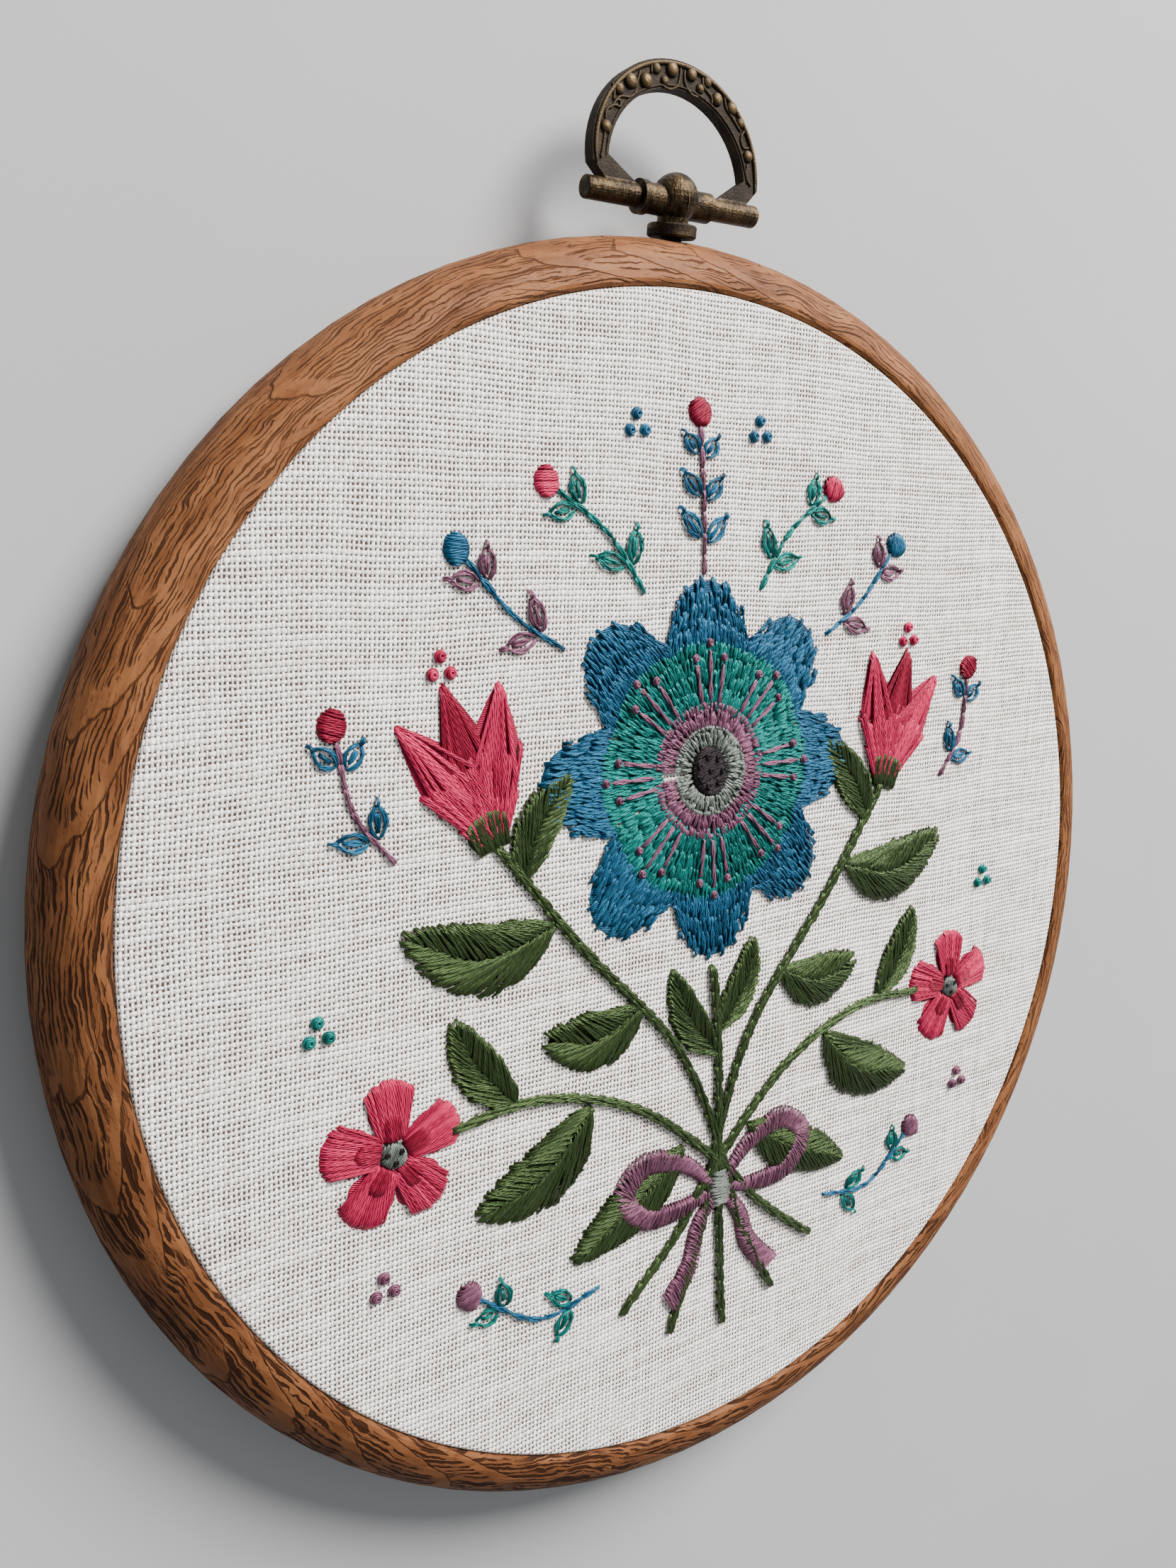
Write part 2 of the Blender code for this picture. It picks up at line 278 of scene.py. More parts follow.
def cotton():
    """Open plain weave. Each thread has its own width and tone, with slubs along the rows."""
    made, tree, shader = new_material("warm_white_cotton")
    x, y, z = place_mm(tree)
    radius = calc("SQRT", x * x + y * y)
    unrolled = 1.0 + calc("MAXIMUM", CLOTH_TOP - 0.05 - z, 0.0) * 0.9 / radius
    x = x * unrolled
    y = y * unrolled
    sway = noise((x, y, 0.0), 0.035, 1.0) - 0.5
    sway_b = noise((y, x, 5.0), 0.05, 1.0) - 0.5
    u = x * (math.cos(COLUMN_TURN) / COLUMN_PITCH) + y * (math.sin(COLUMN_TURN) / COLUMN_PITCH)
    v = x * (math.cos(ROW_TURN) / ROW_PITCH) + y * (math.sin(ROW_TURN) / ROW_PITCH)
    jitter = noise((x, y, 9.0), 0.9, 1.0) - 0.5
    jitter_b = noise((x, y, 19.0), 0.9, 1.0) - 0.5
    u = u + sway * 3.0 + jitter * 0.34
    v = v + sway_b * 2.4 + jitter_b * 0.30
    column = calc("FLOOR", u)
    row = calc("FLOOR", v)
    across_u = calc("FRACT", u) - 0.5
    across_v = calc("FRACT", v) - 0.5
    # Threads swell and thin along their length.
    swell_u = noise((column * 7.3, v * 0.10, 0.0), 1.0, 2.0)
    swell_v = noise((u * 0.07, row * 5.7, 3.0), 1.0, 2.0)
    own_u = one_each(column, 1.0)
    own_v = one_each(row, 2.0)
    crossing = one_each(column + 0.5, row + 0.5)
    fibre = noise((x * 5.0, y * 5.0, 2.0), 1.0, 2.0, 0.6) - 0.5
    half_u = 0.232 + between(swell_u, 0.32, 0.68) * 0.12 + own_u * 0.06 + crossing * 0.06 + fibre * 0.14
    half_v = 0.250 + between(swell_v, 0.34, 0.70) * 0.19 + own_v * 0.05 + crossing * 0.04 + fibre * 0.14
    lift_u = calc("COSINE", (v - 0.5) * math.pi + column * math.pi)
    lift_v = calc("COSINE", (u - 0.5) * math.pi + row * math.pi) * -1.0
    ru = across_u / half_u
    rv = across_v / half_v
    body_u = 1.0 - ru * ru
    body_v = 1.0 - rv * rv
    high_u = calc("SQRT", calc("MAXIMUM", body_u, 0.0)) * 0.55 + lift_u * 0.28
    high_v = calc("SQRT", calc("MAXIMUM", body_v, 0.0)) * 0.55 + lift_v * 0.28
    on_u = between(body_u, -0.10, 0.32)
    on_v = between(body_v, -0.10, 0.32)
    level_u = high_u * on_u + (on_u - 1.0) * 0.6
    level_v = high_v * on_v + (on_v - 1.0) * 0.6
    height = calc("MAXIMUM", level_u, level_v)
    solid = calc("MAXIMUM", on_u, on_v)
    fuzz = noise((u * 2.0, v * 2.0, 0.0), 2.4, 3.0)
    cloudy = noise((x, y, 0.0), 0.06, 3.0)
    tone = own_v * 0.20 + own_u * 0.12 + crossing * 0.16 + fuzz * 0.30 + cloudy * 0.22
    thread = mix(between(tone, 0.25, 0.75), (0.72, 0.660, 0.615), (0.97, 0.930, 0.885))
    # Painted shade: threads are darker where they dip low between the crossings.
    thread = mix(between(height, 0.52, -0.05) * 0.65, thread, (0.37, 0.30, 0.26))
    # Painted shade: the gaps between the threads are filled with the dark seen through them.
    colour = mix(solid, (0.042, 0.026, 0.018), thread)
    plug(shader.inputs["Base Color"], colour)
    normal = bump(height + (fuzz - 0.5) * 0.25, 0.00034, 1.0)
    plug(shader.inputs["Normal"], normal)
    shader.inputs["Roughness"].default_value = 0.92
    shader.inputs["Sheen Weight"].default_value = 0.25
    shader.inputs["Sheen Roughness"].default_value = 0.5
    shader.inputs["Specular IOR Level"].default_value = 0.2
    return made


def bronze():
    """Dark, dull patina with casting pits. Brass shows where it is rubbed: on the pin's barrels, the ball
    and the stud's flange, and wherever a piece carries the attribute proud."""
    made, tree, shader = new_material("antique_bronze")
    x, y, z = place_mm(tree)
    off_y = y - (PIN.y - HOOP_CENTRE_Y) * 1000.0
    off_z = z - PIN.z * 1000.0
    from_pin = calc("SQRT", off_y * off_y + off_z * off_z)
    off_x = calc("ABSOLUTE", x)
    turned_reach = 1.38 + (1.0 - between(off_x, 5.6, 5.9)) * 1.7
    turned = 1.0 - between(from_pin - turned_reach, 0.0, 0.15)
    flange = between(off_y, -3.2, -4.0)
    patches = noise((x, y, z), 0.50, 4.0, 0.6)
    pits = noise((x, y, z), 3.4, 3.0, 0.6)
    brushed = noise((x * 7.0, y * 0.9, z * 0.9), 1.0, 2.0)
    amount = turned * 0.42 + flange * 0.36 + 0.16
    spots = patches + brushed * (0.25 + turned * 0.45)
    rubbed = amount * between(spots, 0.50 + turned * 0.14, 0.86 + turned * 0.22)
    worn = calc("MAXIMUM", rubbed, attribute(tree, "proud"))
    worn = worn * between(pits, 0.22, 0.44)
    colour = mix(worn, (0.0105, 0.0070, 0.0044), (0.112, 0.074, 0.035))
    plug(shader.inputs["Base Color"], colour)
    smooth = calc("MAXIMUM", turned, worn)
    plug(shader.inputs["Metallic"], smooth * 0.62 + 0.12)
    plug(shader.inputs["Roughness"], 0.66 - smooth * 0.26 + (pits - 0.5) * 0.25)
    shader.inputs["Specular IOR Level"].default_value = 0.10
    normal = bump(pits + brushed * turned * 0.8, 0.00013, 0.8)
    plug(shader.inputs["Normal"], normal)
    return made


def floss(name, dark, bright):
    """Cotton floss: each strand a little lighter or darker, with fine plies turning slowly round it."""
    made, tree, shader = new_material(name)
    tint = attribute(tree, "tint")
    along = attribute(tree, "along")
    round_it = attribute(tree, "round_it")
    plies = 5
    turn = along / 5.5 + round_it + tint * 7.0
    ply = calc("ABSOLUTE", calc("SINE", turn * (math.pi * plies)))
    fibres = noise((along * 0.8, round_it * 7.0, tint * 40.0), 2.0, 3.0, 0.6)
    # The plies' stripes in the colour are painted highlight and shade along the twist; tint adds random tone,
    # painted shade at the shapes' edges and painted sheen.
    shade = tint * 0.45 + fibres * 0.30 + ply * 0.45 - 0.08
    colour = mix(between(shade, 0.22, 1.08), dark, bright)
    plug(shader.inputs["Base Color"], colour)
    height = calc("SQRT", ply) + fibres * 0.35
    normal = bump(height, 0.00012, 0.9)
    plug(shader.inputs["Normal"], normal)
    # Mercerised cotton: its shine has the colour of the thread.
    strongest = max(bright)
    shader.inputs["Specular Tint"].default_value = (*(c / strongest for c in bright), 1.0)
    shader.inputs["Specular IOR Level"].default_value = 0.90 * min(strongest / 0.04, 1.0)
    shader.inputs["Roughness"].default_value = 0.38
    return made


def mesh_piece(name, points, faces, look, body, attributes=None):
    """points in metres. faces is an array of quads or a list of polygons."""
    mesh = bpy.data.meshes.new(name)
    mesh.from_pydata([tuple(p) for p in points], [], [tuple(f) for f in faces])
    for key, values in (attributes or {}).items():
        layer = mesh.attributes.new(key, "FLOAT", "POINT")
        layer.data.foreach_set("value", np.asarray(values, np.float32))
    mesh.shade_smooth()
    mesh.materials.append(look)
    obj = bpy.data.objects.new(name, mesh)
    bpy.context.scene.collection.objects.link(obj)
    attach(obj, body)
    return obj


def in_frame(points):
    """Millimetres from the hoop's middle as places in the part's frame, in metres."""
    return points * MM + np.array([0.0, HOOP_CENTRE_Y, 0.0])


def toward(angle):
    return np.array([math.cos(angle), math.sin(angle)])


def left_of(ahead):
    return np.array([-ahead[1], ahead[0]])


def round_places(middle, radius, angles):
    return [middle + radius * toward(a) for a in angles]


def loop_faces(around, sides, first=0):
    """Quads of a tube that closes on itself."""
    i = np.arange(around)[:, None] * sides
    k = (i + sides) % (around * sides)
    j = np.arange(sides)[None, :]
    m = (j + 1) % sides
    return np.stack([i + j, k + j, k + m, i + m], -1).reshape(-1, 4) + first


def grid_faces(rows, columns, first=0, closed=True):
    """Quads of a tube or sheet whose points run columns fastest."""
    i = np.arange(rows - 1)[:, None] * columns
    last = columns if closed else columns - 1
    j = np.arange(last)[None, :]
    a = first + i + j
    b = first + i + (j + 1) % columns
    return np.stack([a, b, b + columns, a + columns], -1).reshape(-1, 4)


# The cloth: one thin sheet over the inner hoop, rolled down between the two rings, where it ends.


def cloth_sheet(look):
    around = 300
    turn = np.arange(around) * TAU / around
    roll = 0.55
    outside = 72.47
    bend_r = outside - roll
    bend_z = CLOTH_TOP - roll
    quarter = np.linspace(0, math.pi / 2, 8)
    over = [(bend_r + roll * math.sin(a), bend_z + roll * math.cos(a)) for a in quarter]
    field = [(r, CLOTH_TOP) for r in np.linspace(0.6, bend_r, 62)]
    hem = CLOTH_TOP - 2.7
    skirt = [(outside, z) for z in np.linspace(bend_z, hem, 4)[1:]]
    top = field + over[1:] + skirt
    thin = 0.4
    thick = 0.95
    under = [(CLOTH_RADIUS - thick, hem), (CLOTH_RADIUS - thick, CLOTH_TOP - 1.4)]
    under += [(CLOTH_RADIUS - 1.3, CLOTH_TOP - thick)]
    thickens = 60.0
    inner = []
    for r in np.linspace(bend_r - 2.0, 0.6, 40):
        share = max(0.0, (r - thickens) / (bend_r - thickens))
        inner.append((r, CLOTH_TOP - thin - (thick - thin) * share**2))
    profile = np.array(top + under + inner)
    rings = len(profile)
    x = profile[:, 0][:, None] * np.cos(turn)[None, :]
    y = profile[:, 0][:, None] * np.sin(turn)[None, :]
    z = np.repeat(profile[:, 1][:, None], around, 1)
    # A faint unevenness of the drum, dying out at the edge.
    calm = np.clip((bend_r - profile[:, 0]) / 12.0, 0, 1)[:, None]
    swell = 0.05 * np.sin(x * 0.21 + 1.0) * np.cos(y * 0.17) + 0.04 * np.sin(x * 0.09 - y * 0.31)
    z = z + calm * swell
    points = np.stack([x, y, z], -1).reshape(-1, 3)
    centre = np.array([[0.0, 0.0, CLOTH_TOP], [0.0, 0.0, CLOTH_TOP - thin]])
    points = np.concatenate([points, centre])
    faces = [tuple(f[::-1]) for f in grid_faces(rings, around)]
    top_centre = rings * around
    for i in range(around):
        j = (i + 1) % around
        faces.append((top_centre, i, j))
        last = (rings - 1) * around
        faces.append((top_centre + 1, last + j, last + i))
    return mesh_piece("cotton_ground", in_frame(points), faces, look, "hoop")


# Stitches. A Batch gathers straight stitches of one floss and turns their strands into tubes.

# How far under the cloth's face the ends of a stitch go.
SINK = 0.22


class Batch:
    def __init__(self, name, look, sides=6, rings=8):
        self.name = name
        self.look = look
        self.sides = sides
        self.rings = rings
        self.rows = []
        self.pads = []
        self.coils = []

    def add(self, start, end, strand=0.40, strands=1, lift=0.28, base=0.0, bow=0.0, turn=9.0, tint=None):
        """A stitch from start to end, in millimetres: strands of that width, lying or turned together.
        lift is the height of its back over the cloth and base what it is raised by."""
        if tint is None:
            tint = RNG.random()
        self.rows.append((*start, *end, strand, strands, lift, base, bow, turn, tint, RNG.random()))

    def pad(self, where, height=0.17):
        """A low cushion under where(s, t), so that no cloth shows between the stitches over it."""
        self.pads.append((where, height))

    def pad_mesh(self, where, height, first):
        long, wide = 16, 9
        rows = []
        for s in np.linspace(0.015, 0.965, long):
            for t in np.linspace(-0.94, 0.94, wide):
                crown = (1 - abs(t / 0.94) ** 5) * (1 - abs(2 * (s - 0.49) / 0.95) ** 8)
                rows.append((*where(s, t), CLOTH_TOP - 0.12 + (height + 0.12) * max(crown, 0.0)))
        top = np.array(rows)
        low = top.copy()
        low[:, 2] = CLOTH_TOP - SINK
        count = long * wide
        faces = grid_faces(long, wide, first, False).tolist()
        faces += [f[::-1] for f in grid_faces(long, wide, first + count, False).tolist()]
        border = list(range(wide))
        border += [i * wide + wide - 1 for i in range(1, long)]
        border += [(long - 1) * wide + j for j in range(wide - 2, -1, -1)]
        border += [i * wide for i in range(long - 2, 0, -1)]
        for a, b in zip(border, border[1:] + border[:1]):
            faces.append([first + b, first + a, first + count + a, first + count + b])
        points = np.concatenate([top, low])
        # The pad takes a dark tone of the floss: painted shade in the gaps between the stitches over it.
        dark = 0.04
        return points, faces, dark, points[:, 0], points[:, 1]

    def coil_mesh(self, place, reach, thick, level, tint, first):
        """One closed turn of floss. Like pad_mesh it gives points, faces, tint, along and round_it."""
        around, sides = 14, 6
        a = (np.arange(around) * TAU / around)[:, None]
        b = (np.arange(sides) * TAU / sides)[None, :]
        r = reach + thick * np.cos(b)
        z = CLOTH_TOP + level + thick * 0.9 * np.sin(b) + 0 * a
        points = np.stack([place[0] + r * np.cos(a), place[1] + r * np.sin(a), z], -1).reshape(-1, 3)
        faces = loop_faces(around, sides, first).tolist()
        return points, faces, tint, (a * reach + 0 * b).reshape(-1), (b / TAU + 0 * a).reshape(-1)

    def reverse(self):
        """The thread on the cloth's back, from where a stitch goes down to where the next comes up:
        every second one, where it is 0.8 to 14 mm long."""
        rows = np.array(self.rows)
        span = rows[1:, 0:2] - rows[:-1, 2:4]
        length = np.linalg.norm(span, axis=1)
        keep = (length > 0.8) & (length < 14.0) & (np.arange(len(length)) % 2 == 0)
        start, end, length = rows[:-1, 2:4][keep], rows[1:, 0:2][keep], length[keep]
        ahead = (end - start) / length[:, None]
        side = np.stack([-ahead[:, 1], ahead[:, 0]], 1)
        half = 0.24
        rings, sides = 5, 4
        t = np.array([0.0, 0.12, 0.5, 0.88, 1.0])
        drop = np.array([0.0, 0.9, 1.0, 0.9, 0.0])
        depth = 0.12 + 0.30 * RNG.random(len(length))
        around = np.arange(sides) * TAU / sides
        middle = start[:, None, :] + t[None, :, None] * (end - start)[:, None, :]
        flat = middle[:, :, None, :] + (half * np.cos(around))[None, None, :, None] * side[:, None, None, :]
        level = CLOTH_TOP - 0.25 - (0.15 + depth[:, None]) * drop[None, :]
        up = level[..., None] + half * 0.8 * np.sin(around)
        points = np.concatenate([flat, up[..., None]], -1).reshape(-1, 3)
        each = rings * sides
        firsts = np.arange(len(length)) * each
        faces = (grid_faces(rings, sides)[None] + firsts[:, None, None]).reshape(-1, 4).tolist()
        faces += (firsts[:, None] + np.arange(sides)[None, ::-1]).tolist()
        faces += (firsts[:, None] + each - sides + np.arange(sides)[None]).tolist()
        values = {
            "tint": np.repeat(RNG.random(len(length)), each),
            "along": np.repeat(t[None] * length[:, None], sides),
            "round_it": np.tile(around / TAU, len(length) * rings),
        }
        return mesh_piece("reverse_" + self.name, in_frame(points), faces, self.look, "hoop", values)

    def build(self):
        rows = np.array(self.rows)
        all_points, all_faces, tints, alongs, rounds = [], [], [], [], []
        first = 0
        one = grid_faces(self.rings, self.sides)
        cap = np.arange(self.sides)
        ring_points = self.sides * self.rings
        for strands in np.unique(rows[:, 5]).astype(int):
            some = rows[rows[:, 5] == strands]
            for strand in range(strands):
                points, round_it, along = self.tubes(some, strands, strand)
                starts = first + np.arange(len(some)) * ring_points
                all_faces += (one[None] + starts[:, None, None]).reshape(-1, 4).tolist()
                all_faces += (starts[:, None] + cap[None, ::-1]).tolist()
                all_faces += (starts[:, None] + ring_points - self.sides + cap[None]).tolist()
                all_points.append(points.reshape(-1, 3))
                own = np.clip(some[:, 10] + 0.13 * np.sin(some[:, 11] * 50.0 + strand * 2.1), 0, 1)
                tints.append(np.repeat(own, ring_points))
                alongs.append(along.reshape(-1))
                rounds.append(round_it.reshape(-1))
                first += len(some) * ring_points
        others = [(self.pad_mesh, pad) for pad in self.pads] + [(self.coil_mesh, coil) for coil in self.coils]
        for make, given in others:
            points, faces, tint, along, round_it = make(*given, first)
            all_points.append(points)
            all_faces += faces
            tints.append(np.full(len(points), tint))
            alongs.append(along)
            rounds.append(round_it)
            first += len(points)
        points = in_frame(np.concatenate(all_points))
        values = {
            "tint": np.concatenate(tints),
            "along": np.concatenate(alongs),
            "round_it": np.concatenate(rounds),
        }
        return mesh_piece(self.name, points, all_faces, self.look, "hoop", values)

    def tubes(self, rows, strands, strand):
        """Points of one strand of every stitch, (stitches, rings, sides, 3)."""
        start, end = rows[:, 0:2], rows[:, 2:4]
        thick, lift, base, bow, pitch = rows[:, 4], rows[:, 6], rows[:, 7], rows[:, 8], rows[:, 9]
        span = end - start
        length = np.linalg.norm(span, axis=1)
        ahead = span / length[:, None]
        side = np.stack([-ahead[:, 1], ahead[:, 0]], 1)
        even = np.linspace(0, 1, self.rings)
        t = 0.35 * even + 0.65 * (0.5 - 0.5 * np.cos(math.pi * even))
        near = np.minimum(t, 1 - t)[None, :] * length[:, None]
        rise = np.sin(np.clip(near / 0.50, 0, 1) * math.pi / 2)
        gather = 0.45 + 0.55 * np.sin(np.clip(near / 1.1, 0, 1) * math.pi / 2)
        height = CLOTH_TOP - SINK + (SINK + lift[:, None] + base[:, None]) * rise
        middle = start[:, None, :] + t[None, :, None] * span[:, None, :]
        middle = middle + side[:, None, :] * (bow[:, None] * np.sin(math.pi * t)[None, :])[..., None]
        if strands > 1:
            angle = TAU * (strand / strands + rows[:, 11][:, None] + t[None, :] * (length / pitch)[:, None])
            reach = thick[:, None] * (0.50 if strands == 2 else 0.60) * gather
            middle = middle + side[:, None, :] * (reach * np.cos(angle))[..., None]
            height = height + reach * 0.55 * np.sin(angle) * rise
        half = thick[:, None] * 0.5 * (0.75 + 0.25 * gather)
        around = np.arange(self.sides) * TAU / self.sides
        out = (half[..., None] * np.cos(around))[..., None] * side[:, None, None, :]
        flat = middle[:, :, None, :] + out
        up = height[..., None] + half[..., None] * 0.8 * np.sin(around)
        points = np.concatenate([flat, up[..., None]], -1)
        shape = points.shape[:3]
        along = np.broadcast_to((t[None, :] * length[:, None])[..., None], shape)
        round_it = np.broadcast_to(around / TAU, shape)
        return points, round_it, along


def wander(amount):
    return float(RNG.normal(0.0, amount))


def curve(knots, step=0.5):
    """A smooth path through the knots, as points about step apart: Catmull-Rom."""
    knots = [np.array(k, float) for k in knots]
    knots = [2 * knots[0] - knots[1]] + knots + [2 * knots[-1] - knots[-2]]
    found = []
    for a, b, c, d in zip(knots, knots[1:], knots[2:], knots[3:]):
        count = max(2, int(np.linalg.norm(c - b) / step))
        for i in range(count):
            t = i / count
            square = (2 * a - 5 * b + 4 * c - d) * t * t
            found.append(0.5 * (2 * b + (c - a) * t + square + (3 * b - a - 3 * c + d) * t**3))
    found.append(knots[-2])
    return np.array(found)


class Path:
    """Places along a curve by its length."""

    def __init__(self, knots):
        self.points = curve(knots)
        steps = np.linalg.norm(np.diff(self.points, axis=0), axis=1)
        self.reach = np.concatenate([[0.0], np.cumsum(steps)])
        self.length = float(self.reach[-1])

    def at(self, s):
        s = min(max(s, 0.0), self.length)
        return np.array([np.interp(s, self.reach, self.points[:, k]) for k in (0, 1)])

    def ahead(self, s):
        d = self.at(s + 0.3) - self.at(s - 0.3)
        return d / max(np.linalg.norm(d), 1e-9)

    def side(self, s):
        return left_of(self.ahead(s))

    def bow(self, a, b, start, end):
        """How far the curve leaves the straight line from start to end, to its left."""
        return float((self.at((a + b) / 2) - (start + end) / 2) @ self.side((a + b) / 2))


def stem_stitch(batch, knots, strand=0.50, strands=3, long=5.0, step=2.0, lean=0.30):
    """Overlapping slanted stitches that make a rope."""
    path = Path(knots)
    s = -step
    while s < path.length - step * 0.6:
        a, b = max(s, 0.0), min(s + long, path.length)
        start = path.at(a) - path.side(a) * (lean + wander(0.03))
        end = path.at(b) + path.side(b) * (lean + wander(0.03))
        bow = path.bow(a, b, start, end)
        batch.add(start, end, strand * (1 + wander(0.05)), strands, 0.42, 0.05, bow, 8.0)
        s += step * (1 + wander(0.06))
    return path


def back_stitch(batch, knots, strand=0.40, strands=2, long=2.6, lift=0.30):
    """Stitches end to end, each back through the hole of the one before."""
    path = Path(knots)
    count = max(1, round(path.length / long))
    for i in range(count):
        a, b = path.length * i / count - 0.22, path.length * (i + 1) / count + 0.22
        start, end = path.at(max(a, 0.0)), path.at(b)
        bow = path.bow(a, b, start, end)
        batch.add(start, end, strand * (1 + wander(0.05)), strands, lift, 0.0, bow, 6.0)
    return path


def fishbone(batch, knots, half_width, step=0.60, strand=0.38, slant=1.15, widest=0.42):
    """A leaf round a midrib: stitches run from the rib out to the edge, one side and then the other."""
    path = Path(knots)
    reach = path.length

    def half(share):
        if share < widest:
            return half_width * max(math.sin(math.pi / 2 * share / widest), 0.0) ** 0.8
        return half_width * max(math.cos(math.pi / 2 * (share - widest) / (1.03 - widest)), 0.0) ** 0.8

    def where(share, t):
        s = share * reach
        out = half(share) * 0.92
        return path.at(s) + path.side(s) * out * t + path.ahead(s) * out * abs(t) * 0.22

    batch.pad(where)
    s = 0.6
    while s < reach * 1.01:
        for turn in (1, -1):
            out = max(half(min(s / reach, 1.0)), half_width * 0.05) * (1 + wander(0.035))
            back = min(s - 0.1, out * slant + 1.4)
            root = path.at(s - back) - path.side(s - back) * 0.22 * turn
            tip = path.at(s) + path.side(s) * out * turn + path.ahead(s) * out * 0.30
            # One half of the leaf is painted lighter than the other: painted sheen.
            light = 0.5 * RNG.random() + (0.48 if turn > 0 else 0.08)
            root = root + [wander(0.05), wander(0.05)]
            tip = tip + [wander(0.08), wander(0.08)]
            rise = 0.08 + 0.10 * RNG.random()
            own = strand * (1 + wander(0.06))
            batch.add(root, tip, own, 2, 0.34, rise, wander(0.05) + 0.10 * turn, 11.0, light)
        s += step * (1 + wander(0.06))
    return path


def fill(batch, where, half_width, rows, base=0.0, edge=0.45, pad=True):
    """Long and short strands in groups of up to four. where(s, t) is a place, s from 0 to 1 along and
    t from -1 to 1 across. rows are (start, end) shares along, laid in turn; half_width(s) is half the
    breadth there. edge is how much darker the sides are: painted shade along the shape's sides."""
    strand = 0.36
    gap = 0.31
    overlap = 0.55
    loose = 0.42
    if pad:
        low, high = min(r[0] for r in rows), max(r[1] for r in rows)
        batch.pad(lambda s, t: where(low + (high - low) * s, t), 0.15 + base)
    for start, end in rows:
        span = end - start
        broad = 2 * max(half_width(start), half_width((start + end) / 2), half_width(end))
        count = max(2, round(broad / gap))
        i = 0
        while i < count:
            size = min(int(RNG.integers(2, 5)), count - i)
            low = start - span * (0.20 + overlap * RNG.random()) * (start > 0.001)
            high = end - span * loose * RNG.random()
            if end > 0.999:
                high = end - 0.035 * RNG.random()
            # Each group shares one tone, partly random and partly painted sheen that its strands catch
            # together.
            tint = RNG.random()
            for k in range(size):
                within = (k + 0.5) / size * 2 - 1
                t = ((i + k + 0.5) / count) * 2 - 1 - 0.12 * within / count * size
                t = min(max(t, -0.99), 0.99)
                # Painted shade: strands darken towards the sides, by edge.
                own = (0.72 * tint + 0.28 * RNG.random()) * (1 - edge * abs(t) ** 3)
                root = where(max(low + wander(0.004), 0.0), t)
                tip = where(min(high + wander(0.004), 1.0), min(max(t + wander(0.01), -1.0), 1.0))
                thick = strand * (1 + wander(0.07))
                lift = 0.26 + 0.11 * (1 - within * within)
                batch.add(root, tip, thick, 1, lift, base + 0.08 * RNG.random(), wander(0.04), 9.0, own)
            i += size


def brick(batch, where, half_width, reach, low=0.0, high=1.0, stitch=3.1, pitch=0.62, base=0.0, edge=0.5):
    """Short plump stitches of two strands in staggered rows, from share low to high of a shape that is
    reach millimetres long. edge is how much darker the ends of a row are, on average: painted shade at the
    shape's sides."""
    batch.pad(lambda s, t: where(low + (high - low) * s, t), 0.20 + base)
    step = stitch * 0.66 / reach
    long = stitch / reach
    s = low - step * 0.6
    row = 0
    while s < high - step * 0.45:
        middle = min(max(s + long / 2, low), high)
        count = max(2, round(2 * half_width(middle) / pitch)) + row % 2
        for i in range(count):
            t = (2 * i / (count - 1) - 1) * 0.96
            start = min(max(s + wander(step * 0.17), low), high - long * 0.5)
            end = min(start + long * (1 + wander(0.10)), high)
            turned = min(t + (0.16 + wander(0.14)) / count, 0.97)
            # Painted shade: stitches darken towards the sides of the shape, by edge.
            tint = (0.10 + 0.90 * RNG.random()) * (1 - edge * abs(t) ** 4)
            own = 0.37 * (1 + wander(0.07))
            rise = base + 0.10 * RNG.random()
            batch.add(where(start, t), where(end, turned), own, 2, 0.34, rise, wander(0.05), 5.0, tint)
        s += step
        row += 1


def petal_shape(root, angle, length, breadth, near=0.35, tip=0.55, point=0.62, dome=0.20, bend=0.0):
    """A petal from its root along angle: (where, half_width) for fill().
    near is its breadth at the root, tip where it starts to close, point how sharply it does,
    dome how far the middle leads at the outer end, and bend how far it curves to its left."""
    ahead = toward(angle)
    side = left_of(ahead)

    def half(s):
        s = min(max(s, 0.0), 1.0)
        grow = near + (1 - near) * math.sin(math.pi / 2 * min(s / 0.62, 1.0)) ** 1.3
        close = 1.0 if s < tip else max(math.cos(math.pi / 2 * (s - tip) / (1 - tip)), 0.0) ** point
        return breadth / 2 * grow * close

    def where(s, t):
        along = s * (1 - dome * abs(t) ** 2.4)
        off = half(min(s, tip + (1 - tip) * 0.45)) * t if dome > 0 else half(s) * t
        return np.array(root) + ahead * length * along + side * (off + bend * along * along)

    return where, half


def ring_shape(middle, inner, outer):
    def where(s, t):
        a = math.pi * t
        r = inner + (outer - inner) * s
        return middle + r * toward(a)

    def half(s):
        return math.pi * (inner + (outer - inner) * s)

    return where, half


def french_knots(batch, places, size=1.3, base=0.0):
    """Each knot is two turns of floss, the upper one smaller, over the stitch that ties it down."""
    for place in places:
        place = np.array(place)
        tie = toward(RNG.random() * math.pi) * size * 0.42
        batch.add(place - tie, place + tie, size * 0.30, 1, 0.20, base, 0.0, 3.0)
        batch.coils.append((place, size * 0.34, size * 0.18, base + size * 0.14, RNG.random()))
        off = np.array([wander(0.04), wander(0.04)])
        batch.coils.append((place + off, size * 0.20, size * 0.17, base + size * 0.36, RNG.random()))


def as_drawn(knots):
    return knots


def mirrored(knots):
    return [(-x, y) for x, y in knots]


def satin_band(batch, knots, half, gap=0.50, strand=0.34, base=0.22, slant=0.35):
    """A ribbon of stitches laid across a path. half(share) is half its width."""
    path = Path(knots)
    count = round(path.length / gap)
    for i in range(count):
        share = (i + 0.5) / count
        s = share * path.length
        reach = half(share) * (1 + wander(0.03))
        out = path.side(s) * reach + path.ahead(s) * reach * slant
        light = 0.45 + 0.22 * math.sin(share * 14.0) + 0.60 * (RNG.random() - 0.5)
        rise = base + 0.05 * RNG.random()
        batch.add(path.at(s) - out, path.at(s) + out, strand, 2, 0.34, rise, 0.0, 7.0, light)


